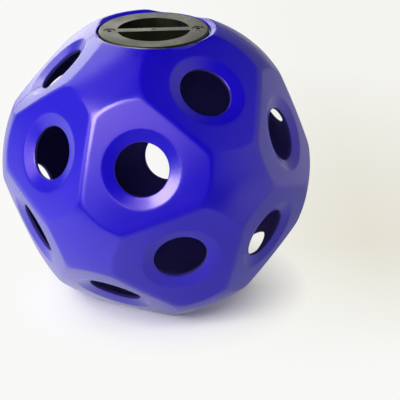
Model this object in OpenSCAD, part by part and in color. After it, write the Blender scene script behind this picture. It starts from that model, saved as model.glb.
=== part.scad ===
// Slow feed hay ball: a hollow ball with round feed holes in its flattened faces,
// and a sunk screw lid at the top for filling it. Lengths are millimetres.
// The faces lie square to the corners of a dodecahedron; the lid takes the topmost one.

/* [Ball] */
// Diameter over the round fields between the faces
ball_d = 400; // [370:5:460]
// How far the crown of a face lies under the round of the ball
face_sink = 16.6; // [15:0.2:18]
// Radius of the slight bulge of a face
bulge_r = 860; // [650:10:1200]
// Wall thickness of the ball
wall = 4.5; // [3.5:0.25:5.5]
// Diameter of the level ring that the ball stands on
rest_d = 120; // [112:1:126]

/* [Feed holes] */
// Diameter of a feed hole
hole_d = 66.5; // [58:0.5:72]
// Width of the dished ring around a hole
dish_w = 15.5; // [12:0.5:18]
// Drop of the dished ring from the face to the edge of the hole
dish_depth = 5; // [3:0.25:6]

/* [Filling neck] */
// Diameter of the sunk seat around the neck
recess_d = 145; // [136:1:156]
// Height of the collar around the seat, over the lowest edge of the faces next to it
collar_h = 1.8; // [1:0.1:3]
// Width of the collar
collar_w = 2; // [1.5:0.1:3]
// Depth of the seat below the collar
seat_depth = 5.2; // [4.5:0.1:7]
// Slope of the dish that rises from the collar, in degrees
seat_slope = 27; // [18:1:32]
// Width of the seat between its wall and the neck
seat_w = 11; // [9:0.5:13]
// Length of the neck below the seat
neck_len = 27; // [26:0.5:32]

/* [Screw lid] */
// Gap between the flange of the lid and the wall of the seat
flange_gap = 2.5; // [1:0.1:3]
// Thickness of the flange
flange_t = 4.5; // [3.5:0.1:6]
// Rounding of the flange's upper edge, drawn as a slope
flange_edge = 2.5; // [1:0.1:3]
// Wall thickness of the skirt, of the pockets and of the bar
lid_wall = 3; // [2:0.1:4]
// Gap between the skirt and the neck, for the thread
thread_gap = 1.5; // [1:0.1:2.5]
// Length of the skirt below the flange
skirt_len = 24; // [22:0.5:25]
// Width of the flat ring between the edge of the flange and the finger pockets
ring_w = 24; // [22:0.5:27]
// Depth of a finger pocket
pocket_depth = 22; // [16:0.5:22]
// Width of the grip bar between the pockets
bar_w = 12.5; // [10:0.5:16]

/* [Lid seal] */
// Thickness of the pressed seal
seal_t = 2; // [1:0.1:3]
// Gap from the seal's inner edge to the skirt and from its outer edge to the flange's
seal_gap = 1; // [0.5:0.1:2]

/* [Hidden] */
$fn = 120;
bulge_fn = 160;
over = 8;

ball_r = ball_d / 2;
face_h = ball_r - face_sink;
bulge_drop = face_h - bulge_r;
hole_r = hole_d / 2;
ring_r = hole_r + dish_w;
ring_z = bulge_drop + sqrt(bulge_r * bulge_r - ring_r * ring_r);
dish_slope = dish_depth / dish_w;
hole_z = ring_z - dish_depth;
rest_r = rest_d / 2;
rest_h = -bulge_drop - sqrt(bulge_r * bulge_r - rest_r * rest_r);

// Tilts from the lid's axis to the first and the second row of faces, and half the turn
// between two faces of the second row
tilt_1 = acos(sqrt(5) / 3);
tilt_2 = acos(1 / 3);
half_turn = acos(sqrt(5 / 8));

// Each feed face as its tilt and its turn about the lid's axis
feed_faces = concat(
    [for (k = [0 : 2]) [tilt_1, 60 + 120 * k]],
    [for (k = [0 : 2], side = [-1, 1]) [tilt_2, 60 + 120 * k + side * half_turn]],
    [for (k = [0 : 2], side = [-1, 1]) [180 - tilt_2, 120 * k + side * half_turn]],
    [for (k = [0 : 2]) [180 - tilt_1, 120 * k]],
    [[180, 0]]
);

// The form around the seat is lowest where the first row of faces cuts it; the collar
// stands over it there, and a dish rises from it elsewhere
recess_r = recess_d / 2;
rim_reach = recess_r - bulge_drop * sin(tilt_1);
rim_low = bulge_drop * cos(tilt_1) + sqrt(bulge_r * bulge_r - rim_reach * rim_reach);
rim_z = rim_low + collar_h;
rise = tan(seat_slope);
seat_z = rim_z - seat_depth;
neck_r = recess_r - seat_w;
flange_z = seat_z + seal_t;
lid_z = flange_z + flange_t;
flange_r = recess_r - flange_gap;
skirt_r = neck_r - thread_gap;
pocket_r = flange_r - ring_w;

module at_face(face) {
    rotate([0, face[0], face[1]])
        children();
}

// The outside of the ball, or the same form at a depth below it: a round ball that is
// trimmed by one face after another
module ball_form(depth, faces = len(feed_faces)) {
    if (faces == 0)
        sphere(r = ball_r - depth);
    else
        intersection() {
            ball_form(depth, faces - 1);
            at_face(feed_faces[faces - 1])
                translate([0, 0, bulge_drop])
                    rotate([0, 90, 0])
                        sphere(r = bulge_r - depth, $fn = bulge_fn);
        }
}

// The wall under a dished ring, reaching into the wall of the face
module dish_backing() {
    rotate_extrude()
        polygon([
            [0, hole_z - wall],
            [hole_r, hole_z - wall],
            [ring_r + wall / 2, ring_z - wall + dish_slope * wall / 2],
            [ring_r + wall / 2, ring_z - wall / 2],
            [0, ring_z - wall / 2]
        ]);
}

// A feed hole with the dished ring around it
module feed_hole() {
    rotate_extrude()
        polygon([
            [0, hole_z - wall - over],
            [hole_r, hole_z - wall - over],
            [hole_r, hole_z],
            [ring_r + over, ring_z + dish_slope * over],
            [ring_r + over, face_h + over],
            [0, face_h + over]
        ]);
}

// The block that the neck and the seat are cut from
module neck_block() {
    rotate_extrude()
        polygon([
            [0, seat_z - neck_len],
            [neck_r + wall, seat_z - neck_len],
            [neck_r + wall, seat_z - wall],
            [recess_r + wall, seat_z - wall],
            [recess_r + wall, rim_z - wall + rise * wall],
            [recess_r + wall + dish_w, rim_z - wall + rise * (wall + dish_w)],
            [recess_r + wall + dish_w, ball_r],
            [0, ball_r]
        ]);
}

module collar() {
    translate([0, 0, seat_z - wall])
        cylinder(r = recess_r + collar_w, h = rim_z - seat_z + wall);
}

module neck_opening() {
    rotate_extrude()
        polygon([
            [0, seat_z - neck_len - over],
            [neck_r, seat_z - neck_len - over],
            [neck_r, seat_z],
            [recess_r, seat_z],
            [recess_r, rim_z],
            [recess_r + dish_w + over, rim_z + rise * (dish_w + over)],
            [recess_r + dish_w + over, ball_r + over],
            [0, ball_r + over]
        ]);
}

// The space inside the ball
module hollow() {
    difference() {
        ball_form(wall);
        neck_block();
        for (face = feed_faces)
            at_face(face)
                dish_backing();
    }
}

module ball_shell() {
    color([0.14, 0.07, 0.68])
        translate([0, 0, -rest_h])
            difference() {
                union() {
                    ball_form(0);
                    collar();
                }
                hollow();
                neck_opening();
                for (face = feed_faces)
                    at_face(face)
                        feed_hole();
                translate([0, 0, rest_h - 2 * over])
                    cylinder(r = ball_r, h = 2 * over);
            }
}

module lid_seal() {
    color([0.05, 0.05, 0.055])
        translate([0, 0, seat_z - rest_h])
            difference() {
                cylinder(r = flange_r - seal_gap, h = seal_t);
                translate([0, 0, -over])
                    cylinder(r = skirt_r + seal_gap, h = seal_t + 2 * over);
            }
}

// Flange, threaded skirt and the cup under the pockets, before the pockets are cut
module lid_blank() {
    rotate_extrude()
        polygon([
            [0, -pocket_depth - lid_wall],
            [pocket_r + lid_wall, -pocket_depth - lid_wall],
            [pocket_r + lid_wall, -flange_t],
            [skirt_r - lid_wall, -flange_t],
            [skirt_r - lid_wall, -flange_t - skirt_len],
            [skirt_r, -flange_t - skirt_len],
            [skirt_r, -flange_t],
            [flange_r, -flange_t],
            [flange_r, -flange_edge],
            [flange_r - flange_edge, 0],
            [0, 0]
        ]);
}

// Two D-shaped pockets, one on each side of the grip bar
module finger_pockets() {
    difference() {
        translate([0, 0, -pocket_depth])
            cylinder(r = pocket_r, h = pocket_depth + over);
        translate([-pocket_r - over, -bar_w / 2, -pocket_depth - over])
            cube([2 * (pocket_r + over), bar_w, pocket_depth + 3 * over]);
    }
}

// The bar is hollow from below
module bar_core() {
    core_w = bar_w - 2 * lid_wall;
    translate([-pocket_r, -core_w / 2, -pocket_depth - lid_wall - over])
        cube([2 * pocket_r, core_w, pocket_depth + over]);
}

module screw_lid() {
    color([0.07, 0.07, 0.075])
        translate([0, 0, lid_z - rest_h])
            difference() {
                lid_blank();
                finger_pockets();
                bar_core();
            }
}

ball_shell();
lid_seal();
screw_lid();
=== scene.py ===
import math
import bpy
import numpy as np
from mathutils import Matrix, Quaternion, Vector


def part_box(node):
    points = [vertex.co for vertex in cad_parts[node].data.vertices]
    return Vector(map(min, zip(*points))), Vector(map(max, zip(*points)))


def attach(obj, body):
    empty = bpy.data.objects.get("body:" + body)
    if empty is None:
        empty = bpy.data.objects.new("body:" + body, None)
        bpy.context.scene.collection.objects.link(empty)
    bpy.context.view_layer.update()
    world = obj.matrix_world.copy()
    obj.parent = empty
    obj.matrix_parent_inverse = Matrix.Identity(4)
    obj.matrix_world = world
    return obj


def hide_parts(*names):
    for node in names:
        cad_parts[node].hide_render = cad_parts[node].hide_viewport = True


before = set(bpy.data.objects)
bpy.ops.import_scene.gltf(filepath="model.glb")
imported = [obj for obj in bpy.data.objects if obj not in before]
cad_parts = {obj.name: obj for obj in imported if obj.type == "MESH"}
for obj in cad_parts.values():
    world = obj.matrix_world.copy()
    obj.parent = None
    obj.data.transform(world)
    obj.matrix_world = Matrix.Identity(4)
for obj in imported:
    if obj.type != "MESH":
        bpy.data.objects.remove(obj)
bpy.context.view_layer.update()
bpy.ops.object.select_all(action="DESELECT")
print("frame loaded:", sorted(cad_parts))

near = 0.00001   # places closer than this count as one


# small helpers for working as in the viewport
def activate(piece):
    bpy.ops.object.select_all(action="DESELECT")
    piece.select_set(True)
    bpy.context.view_layer.objects.active = piece


def startEdit(piece):
    activate(piece)
    bpy.ops.object.mode_set(mode="EDIT")


def endEdit():
    bpy.ops.object.mode_set(mode="OBJECT")


def editAll(piece):
    startEdit(piece)
    bpy.ops.mesh.select_all(action="SELECT")


def editPicked(piece, kind, test):
    # edit mode, with the edges or faces selected that pass the test
    startEdit(piece)
    bpy.ops.mesh.select_mode(type=kind)
    bpy.ops.mesh.select_all(action="DESELECT")
    endEdit()
    data = piece.data
    if kind == "FACE":
        for face in data.polygons:
            face.select = bool(test(face.center, face.normal))
    else:
        for edge in data.edges:
            a, b = (data.vertices[i].co for i in edge.vertices)
            edge.select = bool(test(a, b))
    bpy.ops.object.mode_set(mode="EDIT")


def applyModifiers(piece):
    activate(piece)
    for modifier in list(piece.modifiers):
        bpy.ops.object.modifier_apply(modifier=modifier.name)


def joinPieces(pieces, name):
    activate(pieces[0])
    for piece in pieces:
        piece.select_set(True)
    bpy.ops.object.join()
    whole = bpy.context.view_layer.objects.active
    whole.name = name
    whole.data.name = name
    return whole


def settle(piece):
    # place, turn and scale go into the mesh
    activate(piece)
    bpy.ops.object.transform_apply(location=True, rotation=True, scale=True)


# the ball
ball = {
    "radius": 0.1991,       # over the round fields
    "middleHeight": 0.181304,
    "faceHeight": 0.1834,   # crown of a face above the middle of the ball
    "bulge": 1.08,          # radius of the slight bulge of a face
    "wall": 0.0045,
    "holeRadius": 0.03325,
    "dishRadius": 0.04875,
    "dishDrop": 0.005,
    "ridgeSoft": 0.0036,    # softness of the ridges between two faces
    "fieldSoft": 0.0009,    # softness of the step from a face to a round field
    "dishSoft": 0.0007,     # softness of the outer edge of a dish
    "lipRound": 0.0012,     # rounding of the cut edge of a hole
    "lipSteps": (5, 4),     # on the outside and on the inside
    "sectors": 84,
    # radii of the loops over the dish and behind it, closer at its edge
    "dishRings": (0.0504, 0.0497, 0.049, 0.0484, 0.0477, 0.0466, 0.043, 0.039, 0.0362),
    "backRings": (0.0362, 0.041, 0.0466, 0.049, 0.0504),
    "ringStart": (0.0511, 0.0514),   # where the loops of the face end, outside and inside
    "faceLoops": (5, 3, 3, 5),
    "backLoops": (3, 2, 2, 2),
    "arcBand": 0.0055,      # loops lie closer within this of the edge of a round field
    "arcShares": (0.93, 0.85, 0.7),
    "raySteps": 10,
    "weld": 0.00002,
}
neck = {
    "seatRadius": 0.0725,
    "collarTop": 0.17975,     # above the middle of the ball
    "collarWidth": 0.002,
    "collarRound": 0.0009,
    "collarSteps": (4, 5),    # on its outer and its inner edge
    "seatDepth": 0.0052,      # below the collar
    "seatRound": 0.0005,
    "dishTilt": 27,           # degrees, of the dish that rises from the collar
    "crestSoft": 0.003,       # softness of the crest around the dish of the lid
    "neckRadius": 0.0615,
    "neckLength": 0.027,
    "edgeRound": 0.0008,
    "clearEdge": 0.087,       # the patch around the lid reaches at least this far out
    "clearSoft": 0.012,
    # loops from the edge of the patch to the collar: radius at most, share of the way, count
    "crestKnots": ((0.0855, 0.75), (0.08, 0.5), (0.0772, 0.25)),
    "crestLoops": (9, 5, 5, 3),
    "footGap": 0.0003,        # the dish ends this far from the collar
    "footRise": 0.0004,
    "backGap": 0.001,         # between the neck and the wall around it
    "backRings": (0.0705, 0.074),
    "backLoops": 8,
    "startHeight": 0.178,     # first guess for the height of the ball near the lid
    "heightSteps": 16,
}

bulgeDrop = ball["faceHeight"] - ball["bulge"]
middle = np.array((0.0, 0.0, ball["middleHeight"]))
tilt1 = math.acos(math.sqrt(5) / 3)   # from the lid's axis to the first row of faces
tilt2 = math.acos(1 / 3)              # and to the second
halfTurn = math.acos(math.sqrt(5 / 8))
third = 2 * math.pi / 3
dishSlope = ball["dishDrop"] / (ball["dishRadius"] - ball["holeRadius"])
rimZ = neck["collarTop"]
seatZ = rimZ - neck["seatDepth"]


def wayOf(tilt, turn):
    return np.array((
        math.sin(tilt) * math.cos(turn), math.sin(tilt) * math.sin(turn), math.cos(tilt)))


feedWays = [wayOf(tilt1, third / 2 + third * k) for k in range(3)]
feedWays += [wayOf(tilt2, third / 2 + third * k + s * halfTurn) for k in range(3) for s in (-1, 1)]
feedWays += [wayOf(math.pi - tilt2, third * k + s * halfTurn) for k in range(3) for s in (-1, 1)]
feedWays += [wayOf(math.pi - tilt1, third * k) for k in range(3)]
feedWays += [wayOf(math.pi, 0)]
lidWay = wayOf(0, 0)

# middles of the round fields, where five faces meet
fieldTilt1 = math.acos(math.sqrt((5 + 2 * math.sqrt(5)) / 15))
fieldTilt2 = math.acos(math.sqrt((5 - 2 * math.sqrt(5)) / 15))
fieldWays = [wayOf(fieldTilt1, third * k) for k in range(3)]
fieldWays += [wayOf(fieldTilt2, third / 2 + third * k) for k in range(3)]
fieldWays += [-way for way in fieldWays]


def softMax(a, b, k):
    h = np.maximum(k - np.abs(a - b), 0) / k
    return np.maximum(a, b) + h * h * k / 4


def skinValue(points):
    # about the distance of points from the outside of the ball, less than 0 within
    value = None
    for way in feedWays:
        gap = np.linalg.norm(points - way * bulgeDrop, axis=-1) - ball["bulge"]
        value = gap if value is None else softMax(value, gap, ball["ridgeSoft"])
    return softMax(value, np.linalg.norm(points, axis=-1) - ball["radius"], ball["fieldSoft"])


def onRays(ways, depth=0.0):
    reach = np.full(ways.shape[:-1], ball["faceHeight"])
    for step in range(ball["raySteps"]):
        reach = reach - (skinValue(ways * reach[..., None]) + depth)
    return ways * reach[..., None]


def heightAt(x, y, depth=0.0):
    z = np.full(np.shape(x), neck["startHeight"])
    for step in range(neck["heightSteps"]):
        z = z - (skinValue(np.stack((x, y, z), axis=-1)) + depth)
    return z


def unit(rows):
    return rows / np.linalg.norm(rows, axis=-1, keepdims=True)


def turnTo(way):
    # local z along the face's own way, local x towards a round field next to it
    field = max(fieldWays, key=lambda f: float(np.dot(f, way)))
    across = field - way * np.dot(field, way)
    across = across / np.linalg.norm(across)
    return np.stack((across, np.cross(way, across), way), axis=1)


sectors = ball["sectors"]
sectorTurn = 2 * math.pi * np.arange(sectors) / sectors
innerEdge = ball["faceHeight"] * math.tan(tilt1 / 2)


def edgeWays(way):
    # the triangle around a face, halfway to its neighbours
    sideMid = (np.floor(sectorTurn / third + 1e-9) + 0.5) * third
    lean = sectorTurn - sideMid
    along = innerEdge * (0.5 * np.tan(lean) + 0.5 * math.tan(third / 2) * lean / (third / 2))
    x = innerEdge * np.cos(sideMid) - along * np.sin(sideMid)
    y = innerEdge * np.sin(sideMid) + along * np.cos(sideMid)
    flat = np.stack((x, y, np.full(sectors, ball["faceHeight"])), axis=-1)
    return unit(flat @ turnTo(way).T)


# the patch around the lid is wider than its triangle
lidTriangle = edgeWays(lidWay)
lidFlat = lidTriangle / lidTriangle[:, 2:] * ball["faceHeight"]
lidReach = np.hypot(lidFlat[:, 0], lidFlat[:, 1])
lidStretch = softMax(lidReach, np.full(sectors, neck["clearEdge"]), neck["clearSoft"]) / lidReach
lidEdge = unit(lidFlat * np.stack((lidStretch, lidStretch, np.ones(sectors)), axis=-1))


def stepsBetween(knots, counts):
    # radii from knot to knot, without the last
    rings = []
    for start, end, count in zip(knots[:-1], knots[1:], counts):
        rings += [start + (end - start) * i / count for i in range(count)]
    return rings


def roundPoints(start, corner, end, count):
    # a corner rounded off, from start to end
    t = np.linspace(0, 1, count + 1)[:, None]
    start, corner, end = (np.array(p, dtype=float) for p in (start, corner, end))
    return (1 - t) ** 2 * start + 2 * t * (1 - t) * corner + t ** 2 * end


def swingFrom(turns):
    # how far each turn lies from its own sector, the short way round
    return (turns - sectorTurn + math.pi) % (2 * math.pi) - math.pi


def dishHeight(r, depth):
    # height of the face, or of its inside, along a line from the axis of the hole
    dome = bulgeDrop + math.sqrt((ball["bulge"] - depth) ** 2 - r * r)
    ringZ = bulgeDrop + math.sqrt(ball["bulge"] ** 2 - ball["dishRadius"] ** 2)
    cone = ringZ - dishSlope * (ball["dishRadius"] - r) - depth
    return -float(softMax(np.array(-dome), np.array(-cone), ball["dishSoft"]))


def holeProfile():
    # radius and height from the face over the lip and through the wall to the inside
    hole, wall, lip = ball["holeRadius"], ball["wall"], ball["lipRound"]
    topZ, lowZ = dishHeight(hole, 0), dishHeight(hole, wall)
    topSteps, lowSteps = ball["lipSteps"]
    points = [(r, dishHeight(r, 0)) for r in ball["dishRings"]]
    points += [tuple(p) for p in roundPoints(
        (hole + lip, dishHeight(hole + lip, 0)), (hole, topZ), (hole, topZ - lip), topSteps)]
    points += [tuple(p) for p in roundPoints(
        (hole, lowZ + lip), (hole, lowZ), (hole + lip, dishHeight(hole + lip, wall)), lowSteps)]
    points += [(r, dishHeight(r, wall)) for r in ball["backRings"]]
    return points


def edgeLoops(turn, edge, startR, startZ, counts):
    # loops on the flat of a face, from its edge in to the circle around the hole
    height, drop, fieldR = ball["faceHeight"], bulgeDrop, ball["radius"]
    local = edge @ turn
    flatX, flatY = local[:, 0] / local[:, 2] * height, local[:, 1] / local[:, 2] * height
    reach, swing = np.hypot(flatX, flatY), swingFrom(np.arctan2(flatY, flatX))
    start = startR / startZ * height
    cosField = (ball["bulge"] ** 2 - fieldR ** 2 - drop ** 2) / (-2 * fieldR * drop)
    arc = height * math.tan(math.acos(cosField))
    span = reach - start
    arcs = (arc + ball["arcBand"], arc, arc - ball["arcBand"])
    knots = [reach]
    knots += [np.minimum(r, start + span * share) for r, share in zip(arcs, ball["arcShares"])]
    knots.append(np.full(sectors, start))
    loops = []
    for ring in stepsBetween(knots, counts):
        at = sectorTurn + swing * (ring - start) / span
        flat = (ring * np.cos(at), ring * np.sin(at), np.full(sectors, height))
        loops.append(unit(np.stack(flat, axis=-1) @ turn.T))
    return loops


def facePatch(way):
    turn = turnTo(way)
    edge = edgeWays(way)
    # three patches give up their edge to the wider patch around the lid
    for i in range(sectors):
        gap = np.linalg.norm(lidTriangle - edge[i], axis=-1)
        if gap.min() < near:
            edge[i] = lidEdge[gap.argmin()]
    wall, (outR, inR) = ball["wall"], ball["ringStart"]
    profile = holeProfile()
    circle = np.stack((np.cos(sectorTurn), np.sin(sectorTurn)), axis=-1)
    outerWays = edgeLoops(turn, edge, outR, dishHeight(outR, 0), ball["faceLoops"])
    innerWays = edgeLoops(turn, edge, inR, dishHeight(inR, wall), ball["backLoops"])
    loops = [onRays(ways) for ways in outerWays]
    for r, z in profile:
        loops.append(np.concatenate((circle * r, np.full((sectors, 1), z)), axis=1) @ turn.T)
    loops += [onRays(ways, wall) for ways in reversed(innerWays)]
    loops = np.stack(loops)
    loops[..., 2] = np.maximum(loops[..., 2], -middle[2])   # level where it stands
    return loops, len(outerWays) + len(profile) // 2


def lidPatch():
    # from the edge over the crest, down the dish to the collar, seat and neck, and back inside
    seat, wall, soft = neck["seatRadius"], ball["wall"], neck["collarRound"]
    collarR, backR = seat + neck["collarWidth"], seat + wall
    rise = math.tan(math.radians(neck["dishTilt"]))

    def formZ(r, at, depth=0.0):
        dish = rimZ + rise * (r - seat) - depth
        skin = heightAt(r * np.cos(at), r * np.sin(at), depth)
        return -softMax(-skin, -dish, neck["crestSoft"])

    def ring(r, z, at=sectorTurn):
        return np.stack((r * np.cos(at), r * np.sin(at), np.broadcast_to(z, (sectors,))), axis=-1)

    def reachAndSwing(points):
        x, y = points[:, 0], points[:, 1]
        return np.hypot(x, y), swingFrom(np.arctan2(y, x))

    edge = onRays(lidEdge)
    reach, swing = reachAndSwing(edge)
    start = collarR + neck["footGap"]
    span = reach - start
    knots = [reach]
    knots += [np.minimum(most, start + span * share) for most, share in neck["crestKnots"]]
    knots.append(np.full(sectors, start))
    loops = [edge]
    for r in stepsBetween(knots, neck["crestLoops"])[1:]:
        at = sectorTurn + swing * (r - start) / span
        loops.append(ring(r, formZ(r, at), at))
    # collar
    outSteps, inSteps = neck["collarSteps"]
    foot = formZ(start, sectorTurn)
    loops.append(ring(start, foot))
    low = np.minimum(foot + neck["footRise"], rimZ - soft)
    loops.append(ring(collarR, np.maximum(formZ(collarR, sectorTurn), low)))
    for r, z in roundPoints((collarR, rimZ - soft), (collarR, rimZ), (collarR - soft, rimZ), outSteps):
        loops.append(ring(r, np.maximum(z, formZ(r, sectorTurn))))
    lift = np.maximum(formZ(seat + soft, sectorTurn) - rimZ, 0)
    lip = roundPoints((seat + soft, rimZ), (seat, rimZ), (seat, rimZ - soft), inSteps)
    for i, (r, z) in enumerate(lip):
        loops.append(ring(r, z + lift * (1 - i / inSteps) ** 2))
    # seat and neck
    edgeR, bore, seatR = neck["edgeRound"], neck["neckRadius"], neck["seatRound"]
    outR, lowZ, underZ = bore + wall, seatZ - neck["neckLength"], seatZ - wall
    profile = []
    profile += list(roundPoints((seat, seatZ + seatR), (seat, seatZ), (seat - seatR, seatZ), 2))
    profile += list(roundPoints((bore + edgeR, seatZ), (bore, seatZ), (bore, seatZ - edgeR), 3))
    inRow = len(loops) + len(profile) + 1
    profile += list(roundPoints((bore, lowZ + edgeR), (bore, lowZ), (bore + edgeR, lowZ), 3))
    profile += list(roundPoints((outR - edgeR, lowZ), (outR, lowZ), (outR, lowZ + edgeR), 3))
    profile.append((outR, underZ - neck["backGap"]))
    loops += [ring(r, z) for r, z in profile]
    # back along the inside of the ball
    for r in (outR + neck["backGap"], *neck["backRings"], backR):
        loops.append(ring(r, np.minimum(underZ, formZ(r, sectorTurn, wall))))
    inside = onRays(lidEdge, wall)
    reach, swing = reachAndSwing(inside)
    for t in np.linspace(0, 1, neck["backLoops"])[:-1]:
        r, at = backR + (reach - backR) * t, sectorTurn + swing * t
        loops.append(ring(r, formZ(r, at, wall), at))
    loops.append(inside)
    return np.stack(loops), inRow


def layGrid(patch, name):
    # a grid laid round the hole, its last column on its first
    loops, inRow = patch
    rows = len(loops)
    closed = np.concatenate((loops, loops[:, :1]), axis=1) + middle
    bpy.ops.mesh.primitive_grid_add(x_subdivisions=sectors, y_subdivisions=rows - 1, size=1)
    piece = bpy.context.active_object
    piece.name = name
    piece.data.vertices.foreach_set("co", closed.astype(np.float32).ravel())
    within = piece.data.attributes.new("within", "FLOAT", "POINT")   # 1 on the inside of the ball
    inside = np.repeat(np.arange(rows) >= inRow, sectors + 1)
    within.data.foreach_set("value", inside.astype(np.float32))
    piece.data.update()
    return piece


def makeBall():
    patches = [layGrid(facePatch(way), "facePatch") for way in feedWays]
    patches.append(layGrid(lidPatch(), "lidPatch"))
    shell = joinPieces(patches, "hayBall")
    editAll(shell)
    bpy.ops.mesh.remove_doubles(threshold=ball["weld"])
    bpy.ops.mesh.normals_make_consistent(inside=False)
    bpy.ops.mesh.customdata_custom_splitnormals_clear()
    endEdit()
    bpy.ops.object.shade_smooth()
    settle(shell)
    return shell


hayBall = makeBall()
print("ball laid:", len(hayBall.data.polygons), "faces")
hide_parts("ball_shell")
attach(hayBall, "ball")


# the screw lid
lid = {
    "flangeRadius": 0.07,
    "flangeThick": 0.0045,
    "flangeSides": 160,
    "edgeRound": 0.0026,
    "edgeSteps": 7,
    "skirtRadius": 0.06,
    "skirtWall": 0.003,
    "skirtLength": 0.024,
    "pocketRadius": 0.046,
    "pocketDepth": 0.022,
    "pocketWall": 0.003,
    "pocketSides": 128,
    "barWidth": 0.0125,
    "barWall": 0.003,
    "cornerRound": 0.004,
    "floorRound": 0.004,
    "pocketSteps": 6,
    "rimRound": 0.0018,
    "rimSteps": 4,
    "smallRound": 0.0006,    # other edges, where they turn by more than smallAngle
    "smallAngle": 50,
    "wellPlace": 0.056,      # two shallow wells, in line with the bar, each with a dimple
    "wellRadius": 0.0078,
    "wellDepth": 0.0007,
    "dimpleRadius": 0.003,
    "dimpleDepth": 0.0022,
    "gateRadius": 0.003,     # mark in the middle of the bar, where the mould was filled
    "gateDepth": 0.0005,
    "wellSides": 48,
    "markSides": 32,
    "cutOver": 0.005,        # what cuts the top stands this far over it
    "smoothAngle": 32,
    "weld": 0.000002,
}
thread = {
    "rise": 0.024,      # in one turn
    "starts": 4,
    "turns": 0.62,
    "steps": 60,
    "sink": 0.0004,     # foot of a ridge in the skirt
    "reach": 0.0011,
    "foot": 0.0017,     # half its height at the foot
    "crest": 0.35,      # share of that at the crest
    "drop": 0.0215,     # start below the flange
}
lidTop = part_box("screw_lid")[1].z
flangeLow = lidTop - lid["flangeThick"]


def rimEdges(piece, height, reach):
    # edges at this height between a level face and an upright one
    data, sides = piece.data, {}
    for face in data.polygons:
        for key in face.edge_keys:
            sides.setdefault(key, []).append(abs(face.normal.z))

    def onRim(edge):
        a, b = (data.vertices[i].co for i in edge.vertices)
        tilts = sides[tuple(sorted(edge.vertices))]
        if max(abs(a.z - height), abs(b.z - height)) > 2 * near:
            return False
        return max(a.xy.length, b.xy.length) < reach and max(tilts) > 0.98 and min(tilts) < 0.3

    return {edge.index for edge in data.edges if onRim(edge)}


def roundRim(piece, height, reach, size, steps):
    editPicked(piece, "EDGE", lambda a, b: False)
    endEdit()
    rim = rimEdges(piece, height, reach)
    for edge in piece.data.edges:
        edge.select = edge.index in rim
    bpy.ops.object.mode_set(mode="EDIT")
    bpy.ops.mesh.bevel(offset=size, segments=steps, profile=0.5, affect="EDGES", clamp_overlap=True)
    endEdit()


def cutOut(piece, cutter):
    cut = piece.modifiers.new("cut", "BOOLEAN")
    cut.operation, cut.solver, cut.object = "DIFFERENCE", "EXACT", cutter
    applyModifiers(piece)
    bpy.data.objects.remove(cutter)


def addCylinder(radius, low, high, sides, place=(0.0, 0.0)):
    bpy.ops.mesh.primitive_cylinder_add(
        vertices=sides, radius=radius, depth=high - low, location=(*place, (low + high) / 2))
    piece = bpy.context.active_object
    settle(piece)
    return piece


def addTopCut(radius, depth, sides, place=(0.0, 0.0)):
    return addCylinder(radius, lidTop - depth, lidTop + lid["cutOver"], sides, place)


def addPocket(side):
    flat, low = side * lid["barWidth"] / 2, lidTop - lid["pocketDepth"]
    pocket = addTopCut(lid["pocketRadius"], lid["pocketDepth"], lid["pocketSides"])
    editAll(pocket)
    bpy.ops.mesh.bisect(
        plane_co=(0, flat, 0), plane_no=(0, side, 0), use_fill=True, clear_inner=True)
    endEdit()

    def upright(a, b):
        return abs(a.z - b.z) > lid["pocketDepth"] / 2

    def onFlat(a, b):
        return max(abs(a.y - flat), abs(b.y - flat)) < near

    editPicked(pocket, "EDGE", lambda a, b: upright(a, b) and onFlat(a, b))
    bpy.ops.mesh.bevel(offset=lid["cornerRound"], segments=lid["pocketSteps"], affect="EDGES")
    endEdit()
    editPicked(pocket, "EDGE", lambda a, b: max(a.z, b.z) < low + near)
    bpy.ops.mesh.bevel(offset=lid["floorRound"], segments=lid["pocketSteps"], affect="EDGES")
    endEdit()
    return pocket


def addSection(corners):
    # the outline of a plane, set upright in the plane y = 0
    bpy.ops.mesh.primitive_plane_add(size=1)
    section = bpy.context.active_object
    for vert, (x, z) in zip(section.data.vertices, corners):
        vert.co = (x, 0, z)
    return section


def addRidge(turn):
    # one start of the thread: a small section that is turned and raised at once
    foot, crest = thread["foot"], thread["foot"] * thread["crest"]
    inR = lid["skirtRadius"] - thread["sink"]
    outR = inR + thread["reach"]
    ridge = addSection(((inR, -foot), (inR, foot), (outR, -crest), (outR, crest)))
    editPicked(ridge, "FACE", lambda c, n: True)
    bpy.ops.mesh.delete(type="ONLY_FACE")
    endEdit()
    screw = ridge.modifiers.new("screw", "SCREW")
    screw.angle = 2 * math.pi * thread["turns"]
    screw.screw_offset = thread["rise"] * thread["turns"]
    screw.steps = screw.render_steps = thread["steps"]
    screw.use_smooth_shade = True
    applyModifiers(ridge)
    editAll(ridge)
    bpy.ops.mesh.fill_holes(sides=0)
    bpy.ops.mesh.normals_make_consistent(inside=False)
    endEdit()
    ridge.rotation_euler = (0, 0, turn)
    ridge.location = (0, 0, flangeLow - thread["drop"])
    settle(ridge)
    return ridge


def pullDown(length):
    bpy.ops.mesh.extrude_region_move(TRANSFORM_OT_translate={"value": (0, 0, -length)})
    endEdit()


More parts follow.
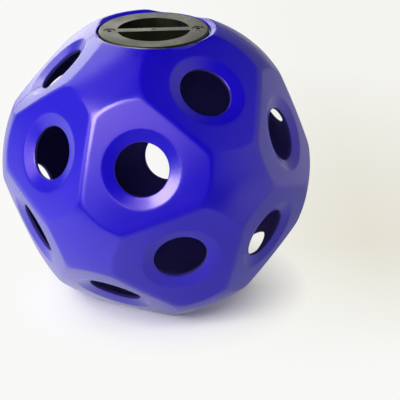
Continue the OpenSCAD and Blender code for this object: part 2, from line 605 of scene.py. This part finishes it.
def makeLid():
    body = addCylinder(lid["flangeRadius"], flangeLow, lidTop, lid["flangeSides"])
    editPicked(body, "EDGE", lambda a, b: min(a.z, b.z) > lidTop - near)
    bpy.ops.mesh.bevel(offset=lid["edgeRound"], segments=lid["edgeSteps"], affect="EDGES")
    endEdit()
    # underside: skirt and cup
    skirtIn = lid["skirtRadius"] - lid["skirtWall"]
    cup = lid["pocketRadius"] + lid["pocketWall"]
    editPicked(body, "FACE", lambda c, n: n.z < -0.9)
    bpy.ops.mesh.inset(thickness=lid["flangeRadius"] - lid["skirtRadius"])
    bpy.ops.mesh.inset(thickness=lid["skirtWall"])
    bpy.ops.mesh.inset(thickness=skirtIn - cup)
    endEdit()
    editPicked(body, "FACE", lambda c, n: n.z < -0.9 and skirtIn < c.xy.length < lid["skirtRadius"])
    pullDown(lid["skirtLength"])
    editPicked(body, "FACE", lambda c, n: n.z < -0.9 and c.xy.length < 0.001)
    pullDown(lid["pocketDepth"] + lid["pocketWall"] - lid["flangeThick"])
    soft = body.modifiers.new("edges", "BEVEL")
    soft.limit_method, soft.angle_limit = "ANGLE", math.radians(lid["smallAngle"])
    soft.width, soft.segments = lid["smallRound"], 2
    applyModifiers(body)
    # pockets, the hollow of the bar, wells and gate mark
    for side in (-1, 1):
        cutOut(body, addPocket(side))
    core = lid["barWidth"] - 2 * lid["barWall"]
    low, high = lidTop - 2 * lid["pocketDepth"], lidTop - lid["barWall"]
    bpy.ops.mesh.primitive_cube_add(size=1, location=(0, 0, (low + high) / 2))
    slot = bpy.context.active_object
    slot.scale = (2 * lid["pocketRadius"], core, high - low)
    settle(slot)
    cutOut(body, slot)
    roundRim(body, lidTop, lid["pocketRadius"] + lid["smallRound"], lid["rimRound"], lid["rimSteps"])
    for side in (-1, 1):
        place = (side * lid["wellPlace"], 0.0)
        cutOut(body, addTopCut(lid["wellRadius"], lid["wellDepth"], lid["wellSides"], place))
        cutOut(body, addTopCut(lid["dimpleRadius"], lid["dimpleDepth"], lid["markSides"], place))
    cutOut(body, addTopCut(lid["gateRadius"], lid["gateDepth"], lid["markSides"]))
    ridges = [addRidge(2 * math.pi * k / thread["starts"]) for k in range(thread["starts"])]
    whole = joinPieces([body] + ridges, "screwLid")
    editAll(whole)
    bpy.ops.mesh.remove_doubles(threshold=lid["weld"])
    bpy.ops.mesh.normals_make_consistent(inside=False)
    endEdit()
    bpy.ops.object.shade_smooth_by_angle(angle=math.radians(lid["smoothAngle"]))
    even = whole.modifiers.new("even", "WEIGHTED_NORMAL")
    even.keep_sharp = True
    applyModifiers(whole)
    settle(whole)
    return whole


screwLid = makeLid()
print("lid made:", len(screwLid.data.polygons), "faces")
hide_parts("screw_lid")
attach(screwLid, "lid")


# the seal under the flange
seal = {
    "innerRadius": 0.061,
    "edgeRound": 0.0007,
    "edgeSteps": 4,
    "sides": 128,
    "smoothAngle": 40,
    "weld": 0.00001,
}


def makeSeal():
    low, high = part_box("lid_seal")
    inR, outR = seal["innerRadius"], high.x
    ring = addSection(((inR, low.z), (outR, low.z), (inR, high.z), (outR, high.z)))
    editPicked(ring, "FACE", lambda c, n: True)
    bpy.ops.mesh.bevel(offset=seal["edgeRound"], segments=seal["edgeSteps"], affect="VERTICES")
    endEdit()
    editPicked(ring, "FACE", lambda c, n: True)
    bpy.ops.mesh.delete(type="ONLY_FACE")
    bpy.ops.mesh.select_mode(type="EDGE")
    bpy.ops.mesh.select_all(action="SELECT")
    bpy.ops.mesh.spin(steps=seal["sides"], angle=2 * math.pi, center=(0, 0, 0), axis=(0, 0, 1))
    bpy.ops.mesh.select_all(action="SELECT")
    bpy.ops.mesh.remove_doubles(threshold=seal["weld"])
    bpy.ops.mesh.normals_make_consistent(inside=False)
    endEdit()
    bpy.ops.object.shade_smooth_by_angle(angle=math.radians(seal["smoothAngle"]))
    ring.name = ring.data.name = "lidSeal"
    settle(ring)
    return ring


lidSeal = makeSeal()
print("seal made:", len(lidSeal.data.polygons), "faces")
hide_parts("lid_seal")
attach(lidSeal, "seal")


# materials
def newMaterial(name):
    material = bpy.data.materials.new(name)
    material.use_nodes = True
    nodes, links = material.node_tree.nodes, material.node_tree.links
    return material, nodes, links, nodes["Principled BSDF"]


def paint(piece, material):
    piece.data.materials.clear()
    piece.data.materials.append(material)


def addNodes(nodes, *kinds):
    return [nodes.new("ShaderNode" + kind) for kind in kinds]


def mapTo(nodes, links, source, span, ends):
    node = nodes.new("ShaderNodeMapRange")
    for socket, value in zip(("From Min", "From Max", "To Min", "To Max"), (*span, *ends)):
        node.inputs[socket].default_value = value
    links.new(source, node.inputs["Value"])
    return node.outputs["Result"]


def addMath(nodes, links, kind, a, b):
    node = nodes.new("ShaderNodeMath")
    node.operation = kind
    links.new(a, node.inputs[0])
    links.new(b, node.inputs[1])
    return node.outputs["Value"]


def addMix(nodes, links, share, source, other):
    # from a socket to a plain colour or number
    node = nodes.new("ShaderNodeMix")
    colour = isinstance(other, tuple)
    node.data_type = "RGBA" if colour else "FLOAT"
    first, second, result = (6, 7, 2) if colour else (2, 3, 0)
    links.new(share, node.inputs["Factor"])
    links.new(source, node.inputs[first])
    node.inputs[second].default_value = other
    return node.outputs[result]


def addBump(nodes, links, height, strength, distance):
    node = nodes.new("ShaderNodeBump")
    node.inputs["Strength"].default_value = strength
    node.inputs["Distance"].default_value = distance
    links.new(height, node.inputs["Height"])
    return node


mouldedGrain = {
    "grainDetail": 3,
    "grainRoughness": 0.6,
    "cloudDetail": 4,
    "colourSpan": (0.35, 0.68),   # part of the clouds over which the colour changes
    "roughSpan": (0.3, 0.7),
}


def makeGrainGroup():
    # fine moulded grain and the faint clouds of colour in moulded plastic
    group = bpy.data.node_groups.new("mouldedGrain", "ShaderNodeTree")
    face = group.interface
    for name in ("Grain Size", "Cloud Size"):
        face.new_socket(name=name, in_out="INPUT", socket_type="NodeSocketFloat")
    for name in ("Grain", "Cloud"):
        face.new_socket(name=name, in_out="OUTPUT", socket_type="NodeSocketFloat")
    nodes, links = group.nodes, group.links
    start, end = nodes.new("NodeGroupInput"), nodes.new("NodeGroupOutput")
    place, grain, cloud = addNodes(nodes, "TexCoord", "TexNoise", "TexNoise")
    grain.inputs["Detail"].default_value = mouldedGrain["grainDetail"]
    grain.inputs["Roughness"].default_value = mouldedGrain["grainRoughness"]
    cloud.inputs["Detail"].default_value = mouldedGrain["cloudDetail"]
    for node, name in ((grain, "Grain"), (cloud, "Cloud")):
        links.new(place.outputs["Object"], node.inputs["Vector"])
        links.new(start.outputs[name + " Size"], node.inputs["Scale"])
        links.new(node.outputs["Fac"], end.inputs[name])
    return group


grainGroup = makeGrainGroup()


def addGrain(nodes, finish):
    node = nodes.new("ShaderNodeGroup")
    node.node_tree = grainGroup
    node.inputs["Grain Size"].default_value = finish["grainSize"]
    node.inputs["Cloud Size"].default_value = finish["cloudSize"]
    return node


def cloudedColour(nodes, links, grain, finish):
    ramp = nodes.new("ShaderNodeValToRGB")
    first, last = ramp.color_ramp.elements
    first.position, last.position = mouldedGrain["colourSpan"]
    first.color, last.color = finish["colour"], finish["colourPale"]
    links.new(grain.outputs["Cloud"], ramp.inputs["Fac"])
    return ramp.outputs["Color"]


def cloudedRoughness(nodes, links, grain, finish):
    return mapTo(nodes, links, grain.outputs["Cloud"], mouldedGrain["roughSpan"], finish["roughness"])


def grainBump(nodes, links, grain, finish):
    return addBump(nodes, links, grain.outputs["Grain"], finish["grain"], finish["grainDepth"])


bluePlastic = {
    "colour": (0.005, 0.0012, 0.405, 1),
    "colourPale": (0.0075, 0.0018, 0.44, 1),
    "gloss": 0.85,
    "sheen": (1, 0.8, 1, 1),
    "roughness": (0.21, 0.26),
    # painted shade: the inside of the ball is coloured darker for the little light that gets in
    "paintedShadeWithin": (0.001, 0.001, 0.12, 1),
    "roughnessWithin": 0.95,
    "grain": 0.1,
    "grainDepth": 0.0004,
    "grainSize": 1400,
    "cloudSize": 11,
    "partingWidth": 0.0012,   # fine dull line where the two halves of the mould met, its colour painted darker as shade where its ridge catches no sheen
    "partingShadeColour": (0.012, 0.005, 0.16, 1),
    "partingShare": 0.85,
    "partingSpan": (0, 0.7),
    "partingRoughness": 0.75,
    "partingRise": 0.6,
    "partingDepth": 0.0005,
}


def makeBluePlastic():
    material, nodes, links, shader = newMaterial("bluePlastic")
    grain = addGrain(nodes, bluePlastic)
    colour = cloudedColour(nodes, links, grain, bluePlastic)
    rough = cloudedRoughness(nodes, links, grain, bluePlastic)
    # the inside is duller, as the mould doesn't touch it, and its colour is painted darker as shade,
    # for the little light that gets in through the holes
    within = nodes.new("ShaderNodeAttribute")
    within.attribute_name = "within"
    colour = addMix(nodes, links, within.outputs["Fac"], colour, bluePlastic["paintedShadeWithin"])
    rough = addMix(nodes, links, within.outputs["Fac"], rough, bluePlastic["roughnessWithin"])
    # the parting line lies in the plane y = 0
    place, split, far = addNodes(nodes, "TexCoord", "SeparateXYZ", "Math")
    far.operation = "ABSOLUTE"
    links.new(place.outputs["Object"], split.inputs["Vector"])
    links.new(split.outputs["Y"], far.inputs[0])
    line = mapTo(nodes, links, far.outputs["Value"], (0, bluePlastic["partingWidth"]), (1, 0))
    share = mapTo(nodes, links, line, bluePlastic["partingSpan"], (0, bluePlastic["partingShare"]))
    # a real line, its colour painted darker as shade for the sheen it misses
    colour = addMix(nodes, links, share, colour, bluePlastic["partingShadeColour"])
    rough = addMix(nodes, links, share, rough, bluePlastic["partingRoughness"])
    links.new(colour, shader.inputs["Base Color"])
    links.new(rough, shader.inputs["Roughness"])
    shader.inputs["Specular IOR Level"].default_value = bluePlastic["gloss"]
    shader.inputs["Specular Tint"].default_value = bluePlastic["sheen"]
    bump = grainBump(nodes, links, grain, bluePlastic)
    lineBump = addBump(nodes, links, line, bluePlastic["partingRise"], bluePlastic["partingDepth"])
    links.new(lineBump.outputs["Normal"], bump.inputs["Normal"])
    links.new(bump.outputs["Normal"], shader.inputs["Normal"])
    return material


blackPlastic = {
    "colour": (0.004, 0.0042, 0.0025, 1),
    "colourPale": (0.008, 0.0085, 0.005, 1),
    "gloss": 0.58,
    "sheen": (1, 1, 0.86, 1),
    "roughness": (0.22, 0.42),
    "grain": 0.12,
    "grainDepth": 0.0004,
    "grainSize": 1700,
    "cloudSize": 26,
}


def makeBlackPlastic():
    material, nodes, links, shader = newMaterial("blackPlastic")
    grain = addGrain(nodes, blackPlastic)
    links.new(cloudedColour(nodes, links, grain, blackPlastic), shader.inputs["Base Color"])
    links.new(cloudedRoughness(nodes, links, grain, blackPlastic), shader.inputs["Roughness"])
    shader.inputs["Specular IOR Level"].default_value = blackPlastic["gloss"]
    shader.inputs["Specular Tint"].default_value = blackPlastic["sheen"]
    bump = grainBump(nodes, links, grain, blackPlastic)
    links.new(bump.outputs["Normal"], shader.inputs["Normal"])
    return material


sealRubber = {
    "colour": (0.012, 0.012, 0.013, 1),
    "gloss": 0.35,
    "roughness": (0.6, 0.75),
    "grain": 0.25,
    "grainDepth": 0.0003,
    "grainSize": 2400,
    "cloudSize": 30,
}


def makeSealRubber():
    material, nodes, links, shader = newMaterial("sealRubber")
    grain = addGrain(nodes, sealRubber)
    shader.inputs["Base Color"].default_value = sealRubber["colour"]
    shader.inputs["Specular IOR Level"].default_value = sealRubber["gloss"]
    links.new(cloudedRoughness(nodes, links, grain, sealRubber), shader.inputs["Roughness"])
    bump = grainBump(nodes, links, grain, sealRubber)
    links.new(bump.outputs["Normal"], shader.inputs["Normal"])
    return material


paint(hayBall, makeBluePlastic())
paint(screwLid, makeBlackPlastic())
paint(lidSeal, makeSealRubber())
print("materials mixed")


# floor, light and camera
studio = {
    "floorSize": 24,
    "floor": (0.93, 0.95, 0.88, 1),
    "floorRoughness": 0.9,
    "floorGloss": 0.1,
    "white": (0.945, 0.945, 0.935, 1),
    "shadowBeige": (0.77, 0.75, 0.645, 1),   # painted shadow on the floor behind and right of the ball
    "beigeX": (-0.02, 0.3),            # where it sets in, to the right and to the back
    "beigeY": (-0.25, 0.12),
    "beigeReach": (0.3, 0.9),          # over this distance it fades to a share
    "beigeFar": 0.25,
    "glowNear": 0.1,           # share of plain white by the ball, where the floor keeps its shadow
    "glowReach": (0.1, 0.2),
    "glossSide": (0.43, 1),    # gloss sees the floor dimmer on the right, and dark towards the front
    "glossSideX": (0.05, -0.13),
    "glossRight": 0.28,        # more of it far to the right
    "glossRightX": (0.3, 0.7),
    "glossFront": (-0.62, -0.35),
    "glossLean": -1.2,         # the dark edge runs forward on the right
    "glossLeanX": (0.4, 2.4),
    "sky": 0.01,
    "skyRight": 0.65,          # soft glow from each side
    "skyLeft": 0.2,
    "skyBack": 0.29,
    "skyEdge": 0.5,            # a glow starts where a direction points this much to its side
}
# turn from the camera's side, height in degrees, distance, width, height, brightness, colour
lamps = {
    "keyLamp": (-43, 34, 2.2, 1.2, 1.4, 10.8, (1, 1, 1)),
    "fillLamp": (-15, 35, 2.4, 1.25, 1.75, 1.75, (1, 0.8, 1)),
    "lowLamp": (-33, 11, 2.4, 1.2, 0.55, 1.0, (1, 1, 1)),
    "leftLamp": (-73, 27, 2.3, 0.85, 1.9, 2.2, (1, 0.78, 1)),
    "crownLamp": (-24, 54, 2.3, 0.8, 0.5, 3.0, (1, 0.9, 1)),
    "rightLamp": (75, 32, 2.4, 1.6, 1.6, 1.3, (0.9, 0.85, 1)),
    "topLamp": (-100, 62, 2.3, 1.6, 1.6, 0.42, (1, 0.78, 1)),
    "rimLamp": (-138, 40, 2.5, 2.1, 2.1, 1.5, (1, 1, 0.86)),
    "backLamp": (-163, 16, 2.6, 1.8, 1.8, 1.7, (1, 1, 0.86)),
}
shot = {
    "azimuth": -91.6,       # from the middle of the ball
    "elevation": 22.5,
    "roll": -0.66,
    "distance": 2.5067,
    "aimRight": 0.0554,     # the ball stands left of and above the middle of the frame
    "aimDown": 0.0507,
    "lens": 173.6,
    "sensor": 36,
}


def makeFloor():
    bpy.ops.mesh.primitive_plane_add(size=studio["floorSize"], location=(0, 0, 0))
    floor = bpy.context.active_object
    floor.name = "paleFloor"
    material, nodes, links, shader = newMaterial("paleFloor")
    shader.inputs["Base Color"].default_value = studio["floor"]
    shader.inputs["Roughness"].default_value = studio["floorRoughness"]
    shader.inputs["Specular IOR Level"].default_value = studio["floorGloss"]
    path, glow, mix = addNodes(nodes, "LightPath", "Emission", "MixShader")
    place, split, length = addNodes(nodes, "TexCoord", "SeparateXYZ", "VectorMath")
    length.operation = "LENGTH"
    links.new(place.outputs["Object"], split.inputs["Vector"])
    links.new(place.outputs["Object"], length.inputs[0])
    x, y, far = split.outputs["X"], split.outputs["Y"], length.outputs["Value"]
    byCamera, byGloss = path.outputs["Is Camera Ray"], path.outputs["Is Glossy Ray"]

    # the camera sees plain white far off, and gloss sees a plain tone
    white = mapTo(nodes, links, far, studio["glowReach"], (studio["glowNear"], 1))
    seen = addMath(nodes, links, "MULTIPLY", white, byCamera)
    share = addMath(nodes, links, "MAXIMUM", seen, byGloss)
    lean = mapTo(nodes, links, x, studio["glossLeanX"], (0, studio["glossLean"]))
    ahead = addMath(nodes, links, "SUBTRACT", y, lean)
    front = mapTo(nodes, links, ahead, studio["glossFront"], (0, 1))
    side = mapTo(nodes, links, x, studio["glossSideX"], studio["glossSide"])
    right = mapTo(nodes, links, x, studio["glossRightX"], (0, studio["glossRight"]))
    tone = addMath(nodes, links, "MULTIPLY", front, addMath(nodes, links, "ADD", side, right))
    links.new(addMath(nodes, links, "MAXIMUM", tone, byCamera), glow.inputs["Strength"])

    # the painted beige shadow behind and right of the ball, in the glow the camera sees
    corner = addMath(
        nodes, links, "MULTIPLY",
        mapTo(nodes, links, x, studio["beigeX"], (0, 1)),
        mapTo(nodes, links, y, studio["beigeY"], (0, 1)))
    fade = mapTo(nodes, links, far, studio["beigeReach"], (1, studio["beigeFar"]))
    shade = nodes.new("ShaderNodeMix")
    shade.data_type = "RGBA"
    shade.inputs[6].default_value = studio["white"]
    shade.inputs[7].default_value = studio["shadowBeige"]
    links.new(addMath(nodes, links, "MULTIPLY", corner, fade), shade.inputs["Factor"])
    links.new(shade.outputs[2], glow.inputs["Color"])

    links.new(share, mix.inputs["Fac"])
    links.new(shader.outputs["BSDF"], mix.inputs[1])
    links.new(glow.outputs["Emission"], mix.inputs[2])
    links.new(mix.outputs["Shader"], nodes["Material Output"].inputs["Surface"])
    paint(floor, material)


def makeSky():
    # a soft glow along the horizon, dark above and in front
    world = bpy.data.worlds.new("studioSky")
    bpy.context.scene.world = world
    world.use_nodes = True
    nodes, links = world.node_tree.nodes, world.node_tree.links
    sky = nodes["Background"]
    sky.inputs["Color"].default_value = studio["white"]
    place, split, path = addNodes(nodes, "TexCoord", "SeparateXYZ", "LightPath")
    links.new(place.outputs["Generated"], split.inputs["Vector"])
    edge = studio["skyEdge"]
    light = mapTo(nodes, links, split.outputs["X"], (edge, 1), (studio["sky"], studio["skyRight"]))
    for axis, side, glow in (("X", -1, "skyLeft"), ("Y", 1, "skyBack")):
        more = mapTo(nodes, links, split.outputs[axis], (edge * side, side), (0, studio[glow]))
        light = addMath(nodes, links, "ADD", light, more)
    light = addMath(nodes, links, "MAXIMUM", light, path.outputs["Is Camera Ray"])
    links.new(light, sky.inputs["Strength"])


def wayTo(azimuth, elevation):
    at, up = math.radians(azimuth), math.radians(elevation)
    return Vector((math.cos(up) * math.cos(at), math.cos(up) * math.sin(at), math.sin(up)))


def addLamp(name, turn, height, distance, wide, tall, bright, colour):
    way = wayTo(shot["azimuth"] + turn, height)
    bpy.ops.object.light_add(type="AREA", location=Vector(middle) + way * distance)
    lamp = bpy.context.active_object
    lamp.name = name
    lamp.data.shape = "ELLIPSE"
    lamp.data.size, lamp.data.size_y = wide, tall
    lamp.data.energy = bright * math.pi * math.pi * wide * tall / 4
    lamp.data.color = colour
    lamp.visible_camera = False
    lamp.rotation_mode = "QUATERNION"
    lamp.rotation_quaternion = (-way).to_track_quat("-Z", "Y")
    return lamp


def makeLamps():
    made = {name: addLamp(name, *values) for name, values in lamps.items()}
    made["rightLamp"].visible_glossy = False   # lifts the shaded side, without a mirrored spot


def makeCamera():
    back = wayTo(shot["azimuth"], shot["elevation"])
    right = (-back).cross(Vector((0, 0, 1))).normalized()
    up = right.cross(-back)
    place = Vector(middle) + back * shot["distance"]
    aim = Vector(middle) + right * shot["aimRight"] - up * shot["aimDown"]
    bpy.ops.object.camera_add(location=place)
    camera = bpy.context.active_object
    camera.data.sensor_width = shot["sensor"]
    camera.data.lens = shot["lens"]
    camera.rotation_mode = "QUATERNION"
    roll = Quaternion((0, 0, 1), math.radians(shot["roll"]))
    camera.rotation_quaternion = (aim - place).to_track_quat("-Z", "Y") @ roll
    bpy.context.scene.camera = camera


makeFloor()
makeSky()
makeLamps()
makeCamera()
bpy.context.scene.view_settings.view_transform = "Standard"
print("stage set")
